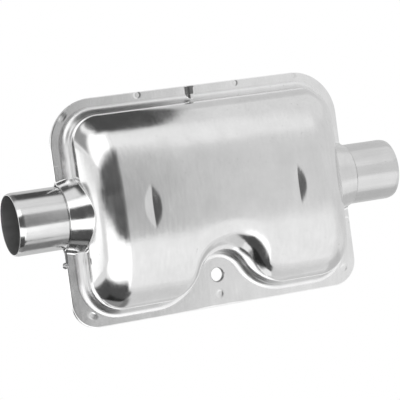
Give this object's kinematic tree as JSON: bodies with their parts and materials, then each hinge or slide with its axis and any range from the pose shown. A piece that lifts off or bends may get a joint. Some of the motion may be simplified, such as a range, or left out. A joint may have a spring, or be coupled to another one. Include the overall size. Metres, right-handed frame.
{
  "type": "diesel heater muffler",
  "caption": "In-line exhaust muffler of two pressed steel half shells with a flange, coaxial pipe spigots and a bolt hole.",
  "frame": {"origin": "centre of the bolt hole, on the parting plane between the two flanges", "axes": "+X from the inlet spigot to the outlet spigot, +Z from the bolt hole towards the pipes, -Y out of the front shell"},
  "size_m": [0.1606, 0.042, 0.0869],
  "materials": {
    "pressed_steel": "bright cold-rolled stainless sheet, pressed",
    "tube_steel": "bright drawn stainless tube",
    "inner_steel": "dull stainless sheet"
  },
  "bodies": {
    "root": {"front_shell": "pressed_steel", "rear_shell": "pressed_steel", "inlet_pipe": "tube_steel", "outlet_pipe": "tube_steel", "inlet_baffle": "inner_steel", "outlet_baffle": "inner_steel"}
  },
  "joints": []
}
